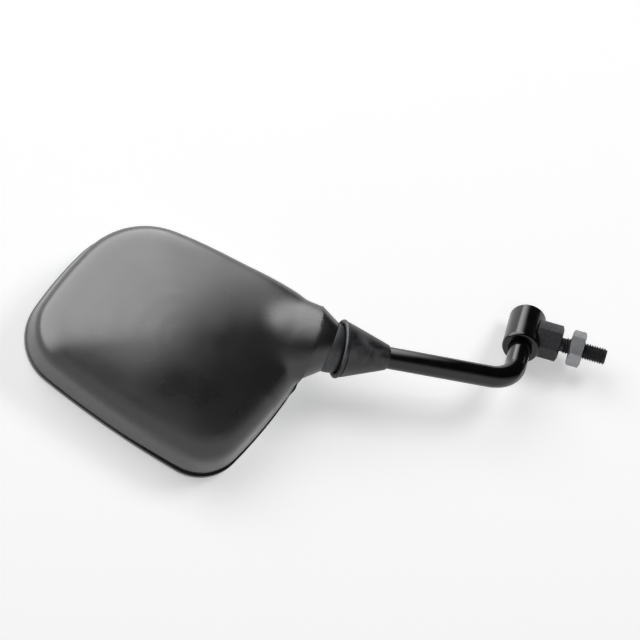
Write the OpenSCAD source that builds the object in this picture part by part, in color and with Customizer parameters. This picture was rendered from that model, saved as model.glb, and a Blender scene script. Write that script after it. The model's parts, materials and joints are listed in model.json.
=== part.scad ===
// Motorcycle mirror: a moulded head on a ball joint, a bent arm, and a swivel barrel on a threaded stud.
//
// It stands as it is mounted. The stud points down, and +Z is up. The glass faces -Y, towards the rider,
// and the rounded back of the head faces +Y. The origin is on the stud's axis, at the lower face of the
// lock nut, where the mirror seats. All sizes are in millimetres.

/* [Stud and nuts] */
// Diameter over the crests of the stud's thread
stud_d = 10; // [8:0.5:12]
// Depth of the thread, from crest to pitch line
thread_pitch_depth = 0.49; // [0.3:0.01:0.7]
// Free thread below the lock nut
stud_free = 13.8; // [10:0.2:30]
// Chamfer at the stud's tip
stud_tip = 1.1; // [0.5:0.1:2]
// Plain thread relief under the hexagon
relief_l = 2; // [1:0.1:3]
// Diameter of the thread relief
relief_d = 8.2; // [6:0.1:8.4]
// Thread showing between the lock nut and the hexagon, with the relief
nut_gap = 5.4; // [3:0.1:12]
// Size across the flats of the stud's hexagon
hex_af = 19; // [17:0.5:22]
// Height of the stud's hexagon up to its ears beside the barrel
hex_h = 15; // [13:0.5:18]
// Turn of the hexagon about the stud
hex_turn = 4; // [-30:1:30]
// Chamfer at the hexagon's lower corners
hex_chamfer = 1.2; // [0.5:0.1:2]
// Size across the flats of the lock nut
nut_af = 19; // [16:0.5:20]
// Height of the lock nut
nut_h = 8.4; // [5:0.1:10]
// Turn of the lock nut about the stud
nut_turn = 10; // [-30:1:30]
// Chamfer at the lock nut's corners
nut_chamfer = 1; // [0.5:0.1:1.5]
// Width of the countersink at each mouth of the lock nut
nut_countersink = 0.4; // [0.2:0.1:1]

/* [Barrel] */
// Outer diameter of the barrel
barrel_d = 22; // [21:0.5:26]
// Length of the barrel without its cap
barrel_l = 28.3; // [27:0.5:34]
// Height of the barrel's axis above the hexagon's lower face
barrel_rise = 22.4; // [22:0.1:26]
// Turn of the barrel's axis from straight ahead
barrel_turn = 37.5; // [0:0.5:60]
// Diameter of the open mouth
mouth_d = 14.5; // [14.4:0.1:16]
// Depth of the open mouth down to the bush's flange
mouth_depth = 6.75; // [5:0.25:8]
// Rounding of the barrel's rim at the mouth
barrel_lip = 1.8; // [0.5:0.1:2.5]
// Thickness of the web that carries the bush
web_t = 8; // [6:0.5:10]
// Diameter of the chamber behind the web
chamber_d = 17.5; // [16.5:0.1:18]
// Thickness of the cap's flange over the barrel's end
cap_t = 1.4; // [1:0.1:3]
// Depth of the cap's plug in the chamber
cap_plug = 1.4; // [1:0.1:2]
// Rounding of the cap's edge
cap_round = 1; // [0.4:0.1:1.2]

/* [Swivel inside the barrel] */
// Diameter of the arm's journal in the bush
journal_d = 10; // [9:0.1:10.5]
// Wall of the bush
bush_wall = 1; // [0.7:0.1:1.4]
// Thickness of the bush's flange
bush_flange_t = 1; // [0.6:0.1:1.5]
// Diameter of the bush's flange
bush_flange_d = 14; // [13:0.1:14.2]
// Thickness of the thrust washer
washer_t = 1.2; // [0.8:0.1:2]
// Outer diameter of the washer and the disc springs
washer_d = 16; // [14:0.1:16.2]
// Sheet thickness of a disc spring
spring_t = 0.9; // [0.5:0.1:1.1]
// Cone height of a disc spring
spring_cone = 0.5; // [0.2:0.1:0.7]
// Size across the flats of the swivel nut
swivel_nut_af = 13; // [12:0.5:13.5]
// Height of the swivel nut
swivel_nut_h = 4.6; // [3:0.1:5]
// Diameter of the arm's threaded end
swivel_thread_d = 8; // [6:0.5:8.5]
// Thread past the swivel nut
swivel_thread_spare = 0.9; // [0.2:0.1:1.2]

/* [Arm] */
// Diameter of the arm's rod
rod_d = 13; // [11:0.1:13.2]
// Distance along the barrel's axis from the stud to the arm's corner
leg_reach = 46.5; // [40:0.5:60]
// Angle that the arm turns through at its bend
bend_angle = 74.5; // [65:0.5:100]
// Bend radius of the arm's centre line
bend_r = 18; // [14:0.5:22]
// Lean of the arm from upright, turned about the barrel
arm_swing = -5; // [-30:0.5:30]
// Distance from the arm's corner to the centre of the ball
rod_reach = 112; // [90:0.5:180]
// Diameter of the arm's neck beside the ball
neck_d = 9; // [8:0.1:9.4]
// Length of the plain neck, from the ball's centre
neck_l = 9; // [8.5:0.1:9.5]
// Distance from the ball's centre to the full rod
rod_start = 12.8; // [12.4:0.1:14]

/* [Ball joint] */
// Diameter of the ball
ball_d = 16; // [15:0.2:17]
// Diameter of the arm's spigot through the ball
spigot_d = 7; // [5:0.5:8]
// Wall of the ball's liner
liner_t = 1.78; // [1.4:0.02:2]
// Angle from the arm's axis to the front liner's opening
liner_open = 36; // [34:1:42]
// Angle from the arm's axis to the front liner's far edge
liner_edge = 80; // [74:1:84]
// Angle from the neck's axis to the rear liner's hole
rear_liner_open = 16; // [10:1:24]
// Angle from the neck's axis to the rear liner's edge
rear_liner_edge = 56; // [50:1:58]
// Outer diameter of the socket's round nose
dome_d = 30; // [29.4:0.2:31]
// Half angle of the socket's opening for the arm
dome_open = 49; // [48:0.5:52]
// Diameter of the socket's body behind the nose
socket_d = 28.1; // [27.6:0.1:28.4]
// Length of the socket's body behind the ball's centre
socket_l = 15.8; // [15:0.1:18]

/* [Collar and clamp] */
// Length of the collar from the ball's centre to the housing
collar_l = 10; // [8:0.5:11]
// Tilt of the seam between collar and housing, with the rounded side towards the arm
seam_tilt = 7.5; // [0:0.5:10]
// Slant of the seam across the neck
seam_slant = 4; // [0:0.5:8]
// Sideways radius of the collar at the housing
collar_side_r = 22.2; // [21:0.1:23]
// Depth radius of the collar at the housing
collar_depth_r = 18.2; // [18:0.1:18.3]
// Offset of the collar's wide end towards the lower side
collar_offset = 1.6; // [0:0.1:3]
// Thickness of the spring cup behind the ball
cup_t = 3.2; // [2.5:0.1:4]
// Depth that the spring cup reaches around the liner
cup_lip = 5; // [4.4:0.1:6]
// Thickness of the clamp plate
clamp_t = 2; // [1.5:0.1:3]
// Diameter of the clamp plate's flange
clamp_d = 31.6; // [30.6:0.1:32]
// Outer diameter of the clamp plate's raised spring housing
hat_d = 19.6; // [18:0.1:20]
// Height of the spring housing above the flange
hat_h = 8; // [6:0.5:10]
// Sheet thickness of the spring housing
hat_t = 1.2; // [1:0.1:1.4]
// Wire diameter of the joint spring
wire_d = 2; // [1.5:0.1:2.4]
// Working turns of the joint spring
wire_turns = 3.5; // [2:0.5:4]
// Number of clamp screws
clamp_screws_n = 3; // [2:1:4]
// Distance of the clamp screws from the neck's axis
clamp_screw_r = 12.2; // [12:0.1:12.4]
// Diameter of the clamp screws
clamp_screw_d = 2.5; // [2:0.1:2.8]
// Depth of the clamp screws in the socket
clamp_screw_depth = 8; // [5:0.5:10]

/* [Boot] */
// Distance from the ball's centre to the boot's wide rim
boot_rim = 4.7; // [4.6:0.1:6]
// Diameter of the boot's wide rim
boot_wide_d = 34.8; // [34:0.1:36]
// Diameter of the boot at its narrow end
boot_narrow_d = 14.6; // [14.4:0.1:18]
// Length of the boot
boot_l = 30.7; // [26:0.1:40]
// Rubber thickness of the boot
boot_t = 2; // [1.6:0.1:2.6]
// Radius of the rolled bead at the boot's rim
boot_bead = 1.1; // [0.8:0.1:1.3]
// Length over which the boot grips the rod
boot_grip = 12; // [8:0.5:14]

/* [Head] */
// Nod of the head, turned about the crosswise axis
head_pitch = -5; // [-8:0.5:4]
// Lean of the head, turned about the lengthwise axis
head_lean = -4; // [-10:0.5:10]
// Turn of the head about the upright axis
head_yaw = 16.5; // [-30:0.5:40]
// Height of the outer corners of the head above the ball
outer_rise = 137.6; // [120:0.2:170]
// Height of the upper inner corner above the ball
upper_rise = 108.2; // [90:0.2:130]
// Height of the lower corner above the ball
lower_rise = 53.1; // [46:0.1:60]
// Height of the corner beside the neck
neck_rise = 33.5; // [33:0.5:36]
// Reach of the lower corner to the side
lower_reach = 69.3; // [60:0.1:85]
// Reach of the outer corner to the side
outer_reach = 44.2; // [35:0.1:60]
// Reach of the upper inner corner to the side
upper_reach = 16.4; // [8:0.1:22]
// Corner radius beside the neck
neck_corner_r = 28.1; // [26:0.1:29]
// Corner radius at the upper inner corner
upper_corner_r = 50.5; // [44:0.5:54]
// Corner radius at the outer corner
outer_corner_r = 31.8; // [28:0.1:36]
// Corner radius at the lower corner
lower_corner_r = 27.6; // [26:0.1:32]
// Bow radius of the inner long side
inner_side_r = 401; // [300:1:900]
// Bow radius of the outer side
top_side_r = 230; // [150:5:400]
// Bow radius of the outer long side
outer_side_r = 593; // [400:1:1200]
// Bow radius of the side beside the neck
neck_side_r = 311; // [250:1:900]
// Depth of the rim in front of the ball's centre
rim_depth = 26.6; // [26.5:0.1:32]
// Height of the side wall above the rim
wall_rise = 23.6; // [18:0.2:28]
// Inward draft of the side wall over its height
wall_draft = 2; // [1:0.1:3]
// Width of the rounded shoulder
shoulder_w = 16; // [12:0.5:18]
// Height of the rounded shoulder
shoulder_h = 15; // [11:0.5:17]
// Rise of the crowned back above the shoulder
crown_h = 8.5; // [4:0.5:14]
// Distance from the ball's centre to the end of the neck's fairing, inside the shell
fairing_reach = 62; // [50:1:70]
// Half width of the fairing at its end
fairing_w = 30; // [24:1:34]
// Half height of the fairing at its end
fairing_h = 17; // [14:0.5:19]
// Half length of the fairing's rounded end
fairing_round = 22; // [16:1:28]
// Shift of the fairing's end towards the lower side
fairing_shift = 9; // [0:0.5:16]
// Shift of the fairing's end towards the glass
fairing_drop = 4; // [0:0.5:8]
// Wall thickness of the housing
shell_t = 2.5; // [2:0.1:3.2]

/* [Glass and bezel] */
// Height of the bezel's visible edge
bezel_h = 3.6; // [3:0.1:4.4]
// Height of the small step at the bezel's lower edge
bezel_step = 0.4; // [0.2:0.1:0.6]
// Thickness of the bezel's lip over the glass
lip_t = 1.2; // [0.8:0.1:1.4]
// Width of the bezel's lip from its outer edge
lip_w = 7.6; // [6.5:0.1:10]
// Width of the bezel's body
bezel_w = 4.9; // [4.6:0.1:5.2]
// Width of the bezel's skirt inside the housing
skirt_t = 1.1; // [0.9:0.1:1.2]
// Height of the bezel's skirt
skirt_h = 3.9; // [2:0.1:4.4]
// Thickness of the mirror glass
glass_t = 2.8; // [2:0.1:3]
// Thickness of the foam pad
pad_t = 1.5; // [1:0.1:2]
// Inset of the foam pad from the glass edge
pad_inset = 3; // [1:0.5:8]
// Thickness of the backing plate
backing_t = 2.5; // [2:0.1:3]
// Distance of the fixing posts from the head's edge
post_inset = 17; // [15:0.5:20]
// Diameter of a fixing post at its foot
post_d = 8; // [7:0.5:10]
// Diameter of the backing screws
backing_screw_d = 3; // [2.5:0.1:3.5]
// Length of the backing screws
backing_screw_l = 10; // [7:0.5:12]

/* [Fits] */
// Radial gap of parts that turn in each other
turn_gap = 0.05; // [0.03:0.01:0.08]
// Gap between flat faces that slide
face_gap = 0.05; // [0.03:0.01:0.1]
// Gap between loosely fitted parts
free_gap = 0.3; // [0.2:0.05:0.4]

/* [Hidden] */
$fn = 96;
over = 1;
far = 3 * outer_rise;

// The stud, from the seat upwards
stud_r = stud_d / 2;
pitch_r = stud_r - thread_pitch_depth;
hex_z = nut_h + nut_gap;
barrel_z = hex_z + barrel_rise;

// The swivel, measured along the barrel from the stud's axis towards the mouth
barrel_r = barrel_d / 2;
mouth_z = barrel_l / 2 + cap_t / 2;
cap_z = mouth_z - barrel_l;
flange_z = mouth_z - mouth_depth;
web_z = flange_z - bush_flange_t;
web_back = web_z - web_t;
shoulder_z = flange_z + face_gap;
washer_z = web_back - face_gap;
spring_z = washer_z - washer_t;
spring_fold = spring_z - spring_t - spring_cone;
swivel_nut_z = spring_fold - spring_t - spring_cone;
journal_end = swivel_nut_z + 0.2;
journal_r = journal_d / 2;
swivel_thread_r = swivel_thread_d / 2;

// The arm, with its corner where the two centre lines meet
rod_r = rod_d / 2;
bend_run = bend_r * tan(bend_angle / 2);
leg_end = leg_reach - bend_run;

// The ball joint, as spheres about the ball's centre
ball_r = ball_d / 2;
liner_in = ball_r + turn_gap;
liner_out = liner_in + liner_t;
seat_r = liner_out + turn_gap;
dome_r = dome_d / 2;
neck_r = neck_d / 2;
ball_flat = sqrt(ball_r * ball_r - neck_r * neck_r);
spigot_r = spigot_d / 2;

// The centre of the ball, worked out from the barrel and the arm
leg_dir = [sin(barrel_turn), cos(barrel_turn), 0];
side_dir = [cos(barrel_turn), -sin(barrel_turn), 0];
rod_dir = cos(bend_angle) * leg_dir
        + sin(bend_angle) * (cos(arm_swing) * [0, 0, 1] + sin(arm_swing) * side_dir);
ball_pos = [0, 0, barrel_z] + leg_reach * leg_dir + rod_reach * rod_dir;

// The clamp behind the ball, measured along the neck from the ball's centre
cup_back = seat_r + cup_t;
clamp_z = socket_l + 0.2;
hat_top = clamp_z + hat_h;

// The head's outline: four corner arcs joined by four bowed sides
corner_at = [[-1.9, neck_rise], [-upper_reach, upper_rise], [-outer_reach, outer_rise], [-lower_reach, lower_rise]];
corner_r = [neck_corner_r, upper_corner_r, outer_corner_r, lower_corner_r];
side_r = [inner_side_r, top_side_r, outer_side_r, neck_side_r];
head_mid = (corner_at[0] + corner_at[1] + corner_at[2] + corner_at[3]) / 4;
head_round_r = 58;
side_steps = 8;
corner_steps = 13;

// Heights in the head, from the rim
rim_z = -rim_depth;
bezel_z = rim_z + bezel_h;
wall_z = rim_z + wall_rise;
crown_z = wall_z + shoulder_h + crown_h;
glass_z = rim_z + lip_t + face_gap;
pad_z = glass_z + glass_t;
backing_z = pad_z + pad_t;
post_z = backing_z + backing_t;
glass_inset = bezel_w + free_gap;
shoulder_stop = 72;
shoulder_steps = 7;
crown_steps = 5;

function next(i) = (i + 1) % 4;
function direction(v) = atan2(v[1], v[0]);

// Centre of a bowed side, inside the head, from which it touches both of its corner arcs
function side_at(i) =
    let (a = corner_at[i], b = corner_at[next(i)],
         ra = side_r[i] - corner_r[i], rb = side_r[i] - corner_r[next(i)],
         d = norm(b - a), u = (b - a) / d,
         x = (ra * ra - rb * rb + d * d) / (2 * d))
    a + u * x + sqrt(ra * ra - x * x) * [-u[1], u[0]];

function arc(c, r, from, to, steps) =
    let (turn = (to - from + 720) % 360)
    [for (k = [0 : steps - 1]) c + r * [cos(from + turn * k / steps), sin(from + turn * k / steps)]];

// The outline drawn in by a distance, as a parallel curve
function outline(inset) =
    [for (i = [0 : 3])
        let (c = side_at(i), d = side_at(next(i)), j = next(i),
             from = direction(corner_at[i] - c), turn = direction(corner_at[j] - c),
             to = direction(corner_at[j] - d))
        each concat(arc(c, side_r[i] - inset, from, turn, side_steps),
                    arc(corner_at[j], corner_r[j] - inset, turn, to, corner_steps))];

// A ring of the shell: the outline at an inset and a height, or shrunk and rounded towards the middle
function ring(inset, z, share) =
    [for (p = outline(inset))
        let (v = p - head_mid, q = head_mid + share * (share + (1 - share) * head_round_r / norm(v)) * v)
        [q[0], q[1], z]];

function shell_rings(inset, drop, foot) = concat(
    [ring(inset, foot, 1)],
    [for (k = [0 : shoulder_steps])
        let (a = shoulder_stop * k / shoulder_steps)
        ring(inset + wall_draft + shoulder_w * (1 - cos(a)), wall_z - drop + shoulder_h * sin(a), 1)],
    [for (k = [1 : crown_steps])
        let (s = k / (crown_steps + 0.5))
        ring(inset + wall_draft + shoulder_w * (1 - cos(shoulder_stop)),
             wall_z - drop + shoulder_h * sin(shoulder_stop) + crown_h * (1 - (1 - s) * (1 - s)), 1 - s)]);

// A closed solid through rings of equal length, with flat ends
module skin(rings) {
    n = len(rings[0]);
    m = len(rings);
    polyhedron(
        points = [for (r = rings) each r],
        faces = concat(
            [[for (i = [0 : n - 1]) i]],
            [for (k = [0 : m - 2], i = [0 : n - 1]) [k * n + i, (k + 1) * n + i, (k + 1) * n + (i + 1) % n]],
            [for (k = [0 : m - 2], i = [0 : n - 1])
                [k * n + i, (k + 1) * n + (i + 1) % n, k * n + (i + 1) % n]],
            [[for (i = [n - 1 : -1 : 0]) (m - 1) * n + i]]));
}

// Places a part in the barrel: its z runs along the barrel towards the mouth
module at_barrel() {
    translate([0, 0, barrel_z]) rotate([0, 0, -barrel_turn]) rotate([90, 0, 180]) children();
}

// Places a part on the straight rod: its z runs from the arm's corner to the ball
module at_rod() {
    at_barrel() rotate([0, 0, arm_swing]) translate([0, 0, leg_reach]) rotate([-bend_angle, 0, 0]) children();
}

// Places a part at the ball's centre: its z runs down along the arm
module at_ball() {
    at_rod() translate([0, 0, rod_reach]) rotate([180, 0, 0]) children();
}

// Places a part in the head: x is across, y is up from the neck, and z points to the rounded back
module at_head() {
    translate(ball_pos) rotate([head_pitch, head_lean, head_yaw]) rotate([90, 0, 180]) children();
}

// Places a part in the neck: its z runs from the ball's centre up into the head
module at_neck() {
    at_head() rotate([-90, 0, 0]) children();
}

module tube(r_out, r_in, z0, z1) {
    translate([0, 0, z0]) difference() {
        cylinder(r = r_out, h = z1 - z0);
        translate([0, 0, -over]) cylinder(r = r_in, h = z1 - z0 + 2 * over);
    }
}

// A hexagon with its corners turned off at one or both ends
module hexagon(af, h, chamfer_low, chamfer_high) {
    r = af / sqrt(3);
    intersection() {
        cylinder(r = r, h = h, $fn = 6);
        rotate_extrude() polygon([
            [0, 0], [r - 2 * chamfer_low, 0], [r + over, chamfer_low + over / 2],
            [r + over, h - chamfer_high - over / 2], [r - 2 * chamfer_high, h], [0, h]]);
    }
}

module outline_plate(inset, z, t) {
    translate([0, 0, z]) linear_extrude(height = t) polygon(outline(inset));
}

module outline_ring(outer, inner, z, t) {
    translate([0, 0, z]) linear_extrude(height = t) difference() {
        polygon(outline(outer));
        polygon(outline(inner));
    }
}

// A sector of the half plane between two angles from the axis, for cutting liners
module sector(from, to, r) {
    polygon([[0, 0], [r * sin(from), r * cos(from)], [r * sin((from + to) / 2), r * cos((from + to) / 2)],
             [r * sin(to), r * cos(to)]]);
}

module liner(from, to) {
    rotate_extrude() intersection() {
        difference() {
            circle(r = liner_out);
            circle(r = liner_in);
        }
        sector(from, to, 2 * liner_out);
    }
}

// The turned and milled stud. Inside the lock nut both threads are drawn at their pitch line.
module hex_stud() {
    color("#2b2b2d") difference() {
        union() {
            translate([0, 0, hex_z]) rotate([0, 0, hex_turn]) hexagon(hex_af, hex_h, hex_chamfer, 0.01);
            translate([0, 0, -stud_free]) cylinder(r1 = stud_r - stud_tip, r2 = stud_r, h = stud_tip);
            translate([0, 0, -stud_free + stud_tip]) cylinder(r = stud_r, h = stud_free - stud_tip);
            cylinder(r = pitch_r, h = nut_h);
            translate([0, 0, nut_h]) cylinder(r = stud_r, h = nut_gap - relief_l);
            translate([0, 0, hex_z - relief_l]) cylinder(d = relief_d, h = relief_l + over);
        }
        at_barrel() cylinder(r = barrel_r, h = 4 * barrel_l, center = true);
    }
}

module lock_nut() {
    mouth_r = stud_r + nut_countersink;
    bore_r = pitch_r + turn_gap;
    sink = mouth_r - bore_r;
    color("#55575a") rotate([0, 0, nut_turn]) difference() {
        hexagon(nut_af, nut_h, nut_chamfer, nut_chamfer);
        translate([0, 0, -over]) cylinder(r = bore_r, h = nut_h + 2 * over);
        cylinder(r1 = mouth_r, r2 = bore_r, h = sink);
        translate([0, 0, nut_h - sink]) cylinder(r1 = bore_r, r2 = mouth_r, h = sink);
    }
}

// The swivel barrel, welded on the stud's saddle
module barrel() {
    bush_r = journal_r + turn_gap + bush_wall;
    color("#18181a") at_barrel() rotate_extrude() difference() {
        union() {
            translate([0, cap_z]) square([barrel_r, barrel_l - barrel_lip]);
            translate([0, mouth_z - barrel_lip]) square([barrel_r - barrel_lip, barrel_lip]);
            translate([barrel_r - barrel_lip, mouth_z - barrel_lip]) circle(r = barrel_lip);
        }
        translate([0, cap_z - over]) square([bush_r, barrel_l + 2 * over]);
        translate([0, web_z]) square([mouth_d / 2, mouth_z - web_z + over]);
        translate([0, cap_z - over]) square([chamber_d / 2, web_back - cap_z + over]);
    }
}

module barrel_bush() {
    bore_r = journal_r + turn_gap;
    color("#9a7b45") at_barrel() {
        tube(bore_r + bush_wall, bore_r, web_back, web_z);
        tube(bush_flange_d / 2, bore_r, web_z, flange_z);
    }
}

module barrel_cap() {
    color("#202022") at_barrel() union() {
        translate([0, 0, cap_z]) cylinder(r = chamber_d / 2, h = cap_plug);
        translate([0, 0, cap_z - cap_t]) rotate_extrude() intersection() {
            union() {
                square([barrel_r - cap_round, cap_t]);
                translate([0, cap_round]) square([barrel_r, cap_t]);
                translate([barrel_r - cap_round, cap_round]) circle(r = cap_round);
            }
            square([barrel_r, cap_t]);
        }
    }
}

// One bent rod: threaded end, journal, leg, bend, straight rod, neck and spigot
module arm() {
    color("#141416") union() {
        at_barrel() {
            translate([0, 0, swivel_nut_z - swivel_nut_h - swivel_thread_spare])
                cylinder(r = swivel_thread_r, h = swivel_nut_h + swivel_thread_spare + over);
            translate([0, 0, journal_end]) cylinder(r = journal_r, h = shoulder_z - journal_end + over);
            translate([0, 0, shoulder_z]) cylinder(r = rod_r, h = leg_end - shoulder_z + 0.05);
            rotate([0, 0, arm_swing]) translate([0, bend_r, leg_end]) rotate([90, 0, -90])
                rotate_extrude(angle = bend_angle) translate([bend_r, 0]) circle(r = rod_r - 0.01);
        }
        at_rod() translate([0, 0, bend_run - 0.05]) cylinder(r = rod_r, h = rod_reach - rod_start - bend_run + 0.1);
        at_ball() {
            translate([0, 0, -ball_flat]) cylinder(r = spigot_r, h = 2 * ball_flat + over);
            translate([0, 0, ball_flat]) cylinder(r = neck_r, h = neck_l - ball_flat + over);
            translate([0, 0, neck_l]) cylinder(r1 = neck_r, r2 = rod_r, h = rod_start - neck_l);
        }
    }
}

module ball() {
    color("#8d9094") at_ball() difference() {
        sphere(r = ball_r);
        translate([0, 0, -ball_d]) cylinder(r = spigot_r, h = 2 * ball_d);
        translate([0, 0, ball_flat]) cylinder(r = ball_r, h = ball_r);
        translate([0, 0, -ball_flat - ball_r]) cylinder(r = ball_r, h = ball_r);
    }
}

module thrust_washer() {
    color("#a9abae") at_barrel() tube(washer_d / 2, journal_r + 2 * turn_gap, spring_z, washer_z);
}

module disc_spring(z, flip) {
    r_in = journal_r + 2 * turn_gap;
    color("#6f7276") at_barrel() translate([0, 0, z]) mirror([0, 0, flip]) rotate_extrude() polygon([
        [r_in, 0], [washer_d / 2, -spring_cone], [washer_d / 2, -spring_cone - spring_t], [r_in, -spring_t]]);
}

module inner_disc_spring() {
    disc_spring(spring_z, 0);
}

module outer_disc_spring() {
    disc_spring(swivel_nut_z, 1);
}

module swivel_nut() {
    color("#8d9094") at_barrel() translate([0, 0, swivel_nut_z - swivel_nut_h]) difference() {
        hexagon(swivel_nut_af, swivel_nut_h, 0.8, 0.8);
        translate([0, 0, -over]) cylinder(r = swivel_thread_r, h = swivel_nut_h + 2 * over);
    }
}

// The rubber boot, gripping the rod and hooded over the socket's nose
module boot() {
    wide_r = boot_wide_d / 2;
    narrow_r = boot_narrow_d / 2;
    end = boot_rim + boot_l;
    slope = (wide_r - narrow_r) / boot_l;
    room = dome_r + free_gap;
    grip_z = end - boot_grip;
    nose = narrow_r - rod_r;
    color("#1d1d1f") at_ball() rotate_extrude() difference() {
        union() {
            polygon([[0, boot_rim + boot_bead], [wide_r, boot_rim + boot_bead], [narrow_r, end - nose],
                     [rod_r + nose / 2, end], [0, end]]);
            translate([wide_r - boot_bead, boot_rim + boot_bead]) circle(r = boot_bead);
            translate([0, boot_rim]) square([wide_r - boot_bead, boot_bead]);
        }
        circle(r = room);
        translate([0, grip_z - over]) square([rod_r, end - grip_z + 2 * over]);
        polygon([[0, boot_rim], [wide_r - boot_t - slope * boot_rim, boot_rim + 4 * boot_bead],
                 [rod_r, grip_z], [0, grip_z + over]]);
        translate([-2 * wide_r, -over]) square([2 * wide_r, 2 * end]);
    }
}

module front_liner() {
    color("#d8d4c8") at_ball() liner(liner_open, liner_edge);
}

module rear_liner() {
    color("#d8d4c8") at_neck() liner(rear_liner_open, rear_liner_edge);
}

// The socket: a round nose towards the arm, and a turned body that passes through collar and housing
module socket() {
    color("#4a4b4e") at_neck() difference() {
        rotate_extrude() difference() {
            union() {
                intersection() {
                    circle(r = dome_r);
                    translate([0, -dome_d]) square([dome_d, dome_d]);
                }
                square([socket_d / 2, socket_l]);
            }
            circle(r = seat_r);
            square([seat_r, socket_l + over]);
            polygon([[0, 0], [dome_d * sin(dome_open), -dome_d * cos(dome_open)], [0, -dome_d]]);
            translate([-dome_d, -dome_d]) square([dome_d, 2 * dome_d]);
        }
        clamp_screw_places() translate([0, 0, socket_l - clamp_screw_depth])
            cylinder(d = clamp_screw_d, h = clamp_screw_depth + over);
    }
}

module clamp_screw_places() {
    for (k = [0 : clamp_screws_n - 1])
        rotate([0, 0, 90 + 360 * k / clamp_screws_n]) translate([clamp_screw_r, 0, 0]) children();
}

module spring_cup() {
    color("#8d9094") at_neck() rotate_extrude() difference() {
        translate([0, cup_lip]) square([seat_r - 2 * turn_gap, cup_back - cup_lip]);
        circle(r = seat_r);
        translate([-dome_d, -over]) square([dome_d, dome_d]);
    }
}

// The joint spring, a coil between the cup and the clamp plate, with its ends ground flat
module joint_spring() {
    mean_r = hat_d / 2 - hat_t - free_gap - wire_d / 2;
    low = cup_back;
    high = hat_top - hat_t;
    steps = 18;
    sides = 8;
    n = ceil(wire_turns * steps);
    color("#b4b6b9") at_neck() intersection() {
        translate([0, 0, low]) cylinder(r = hat_d, h = high - low);
        skin([for (k = [0 : n])
            let (a = 360 * wire_turns * k / n, z = low + wire_d / 4 + (high - low - wire_d / 2) * k / n)
            [for (s = [0 : sides - 1])
                let (b = 360 * (s + 0.5) / sides, r = mean_r + wire_d / 2 * cos(b))
                [r * cos(a), r * sin(a), z - wire_d / 2 * sin(b)]]]);
    }
}

// The pressed clamp plate: a flange with a raised housing for the spring
module clamp_plate() {
    color("#a9abae") at_neck() difference() {
        union() {
            tube(clamp_d / 2, hat_d / 2 - hat_t, clamp_z, clamp_z + clamp_t);
            tube(hat_d / 2, hat_d / 2 - hat_t, clamp_z, hat_top);
            tube(hat_d / 2, wire_d, hat_top - hat_t, hat_top);
        }
        clamp_screw_places() cylinder(d = clamp_screw_d + free_gap, h = 2 * hat_top);
    }
}

module clamp_screws() {
    color("#8d9094") at_neck() clamp_screw_places() {
        translate([0, 0, socket_l - clamp_screw_depth + 0.5])
            cylinder(d = clamp_screw_d, h = clamp_z + clamp_t - socket_l + clamp_screw_depth);
        translate([0, 0, clamp_z + clamp_t]) difference() {
            cylinder(r = clamp_screw_r - hat_d / 2 - 0.2, h = 1.8);
            translate([0, 0, 0.8]) cylinder(r = clamp_screw_d / 2.6, h = over, $fn = 6);
        }
    }
}

// Places a part at the seam between collar and housing, from the neck: its z runs on into the head
module at_seam() {
    translate([0, 0, collar_l]) rotate([seam_tilt, -seam_slant, 0]) children();
}

// The wide end of the collar, where it meets the housing
module collar_section(z, t) {
    translate([-collar_offset, 0, z]) scale([collar_side_r, collar_depth_r, 1]) cylinder(r = 1, h = t, $fn = 72);
}

module neck_collar() {
    color("#161618") at_neck() difference() {
        hull() {
            cylinder(r = dome_r, h = 0.4, $fn = 72);
            at_seam() collar_section(-0.4, 0.4);
        }
        translate([0, 0, -over]) cylinder(r = socket_d / 2 + turn_gap, h = 2 * collar_l);
    }
}

// Middles of the fixing posts. The first one clears the clamp plate, the others follow the head's edge.
function post_at(i) =
    let (v = corner_at[i] - head_mid)
    i == 0 ? corner_at[0] : corner_at[i] + v / norm(v) * (corner_r[i] - post_inset);

module post(i) {
    translate([post_at(i)[0], post_at(i)[1], post_z])
        cylinder(d1 = post_d, d2 = post_d + 3, h = crown_z - post_z, $fn = 20);
}

// The neck's fairing, from the collar back into the shell
module fairing(inset) {
    hull() {
        children();
        translate([-fairing_shift, fairing_reach, -fairing_drop])
            scale([fairing_w - inset, fairing_round - inset, fairing_h - inset]) sphere(r = 1, $fn = 36);
    }
}

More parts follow.
